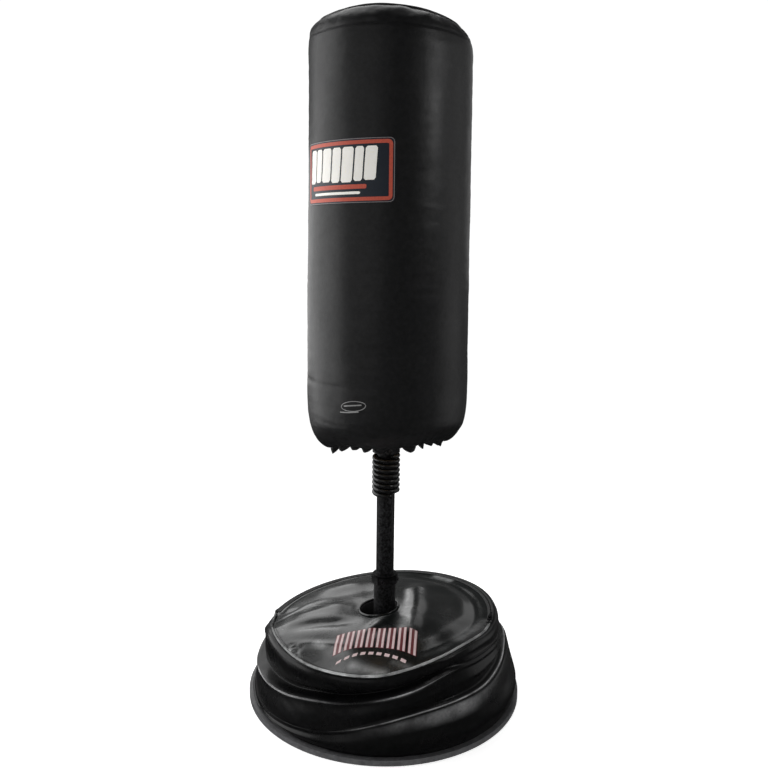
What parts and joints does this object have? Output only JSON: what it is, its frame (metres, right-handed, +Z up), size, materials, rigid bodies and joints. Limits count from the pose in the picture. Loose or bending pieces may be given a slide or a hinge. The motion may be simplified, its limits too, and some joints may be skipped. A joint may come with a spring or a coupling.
{
  "type": "free-standing punching bag",
  "caption": "Cylindrical vinyl punching bag on a coil spring and telescoping post, standing in a slumped sand-filled vinyl base.",
  "frame": {"origin": "centre of the base plate's outline, at the floor under the rubber feet", "axes": "+Z up along the post and the bag; -Y towards the front, where the label is; +X to the right seen from the front"},
  "size_m": [0.7219, 0.722, 1.74],
  "materials": {
    "vinyl": "gloss",
    "bag_vinyl": "satin",
    "black_steel": "satin",
    "spring_steel": "satin",
    "zinc_steel": "satin",
    "rubber": "matte",
    "sand": "matte",
    "zip_tape": "matte",
    "zip_teeth": "matte",
    "nylon": "satin",
    "pvc": "satin",
    "plywood": "matte",
    "foam": "matte",
    "cord": "matte",
    "label": "satin",
    "label_border": "satin"
  },
  "bodies": {
    "base": {"base_plate": "black_steel", "edge_trim": "rubber", "rubber_feet": "rubber", "foot_screws": "zinc_steel", "socket_flange": "black_steel", "socket_tube": "black_steel", "socket_gussets": "black_steel", "flange_bolts": "zinc_steel", "flange_washers": "zinc_steel", "flange_nuts": "zinc_steel", "socket_collar": "black_steel", "sand_fill": "sand", "cover_floor_panel": "vinyl", "cover_side_wall": "vinyl", "cover_top_panel": "vinyl", "cover_rim_welt": "vinyl", "cover_hole_sleeve": "vinyl", "cover_hole_welt": "vinyl", "zip_tapes": "zip_tape", "zip_teeth": "zip_teeth"},
    "slider": {"zip_slider": "black_steel"},
    "pull": {"zip_pull": "black_steel"},
    "front_screw": {"set_screw_front": "zinc_steel"},
    "side_screw": {"set_screw_side": "zinc_steel"},
    "post": {"post_tube": "black_steel", "post_guide_bush": "nylon", "post_top_plug": "rubber", "spring_lower": "spring_steel"},
    "neck": {"spring_middle": "spring_steel"},
    "mandrel": {"spring_upper": "spring_steel", "seat_collar": "black_steel", "mandrel_tube": "black_steel", "mandrel_plug": "black_steel", "retaining_washer": "zinc_steel", "retaining_bolt": "zinc_steel"},
    "bag": {"core_tube": "pvc", "core_base_disc": "plywood", "core_top_disc": "plywood", "core_bush_lower": "nylon", "core_bush_upper": "nylon", "core_disc_screws": "zinc_steel", "foam_core": "foam", "foam_top_pad": "foam", "bag_side_wall": "bag_vinyl", "bag_top_panel": "bag_vinyl", "bag_top_welt": "bag_vinyl", "bag_back_seam": "bag_vinyl", "bag_hem": "bag_vinyl", "hem_cord": "cord", "label_patch": "label", "label_border": "label_border"}
  },
  "joints": [
    {"name": "post_height", "type": "slide", "parent": "base", "child": "post", "axis": [0, 0, 1], "range_m": [-0.1, 0.08]},
    {"name": "lean_fore_aft", "type": "hinge", "parent": "post", "child": "neck", "pos_m": [0, 0, 0.583], "axis": [1, 0, 0], "range_deg": [-20, 20], "stiffness_Nm_per_rad": 900, "deforming": ["spring_lower", "spring_middle"]},
    {"name": "lean_sideways", "type": "hinge", "parent": "neck", "child": "mandrel", "pos_m": [0, 0, 0.601], "axis": [0, 1, 0], "range_deg": [-20, 20], "stiffness_Nm_per_rad": 900, "deforming": ["spring_upper"]},
    {"name": "bag_turn", "type": "hinge", "parent": "mandrel", "child": "bag", "pos_m": [0, 0, 0.69], "axis": [0, 0, 1], "continuous": true},
    {"name": "front_screw_travel", "type": "slide", "parent": "base", "child": "front_screw", "axis": [-0.1736, -0.9848, 0], "range_m": [0, 0.006]},
    {"name": "side_screw_travel", "type": "slide", "parent": "base", "child": "side_screw", "axis": [0.9848, -0.1736, 0], "range_m": [0, 0.006]},
    {"name": "slider_travel", "type": "hinge", "parent": "base", "child": "slider", "pos_m": [-0.015, 0, 0.192], "axis": [-0.1138, 0.008, 0.9935], "range_deg": [0, 172]},
    {"name": "pull_swing", "type": "hinge", "parent": "slider", "child": "pull", "pos_m": [0.2745, -0.07317, 0.2316], "axis": [0.9549, -0.2752, 0.1116], "range_deg": [0, 150]}
  ]
}
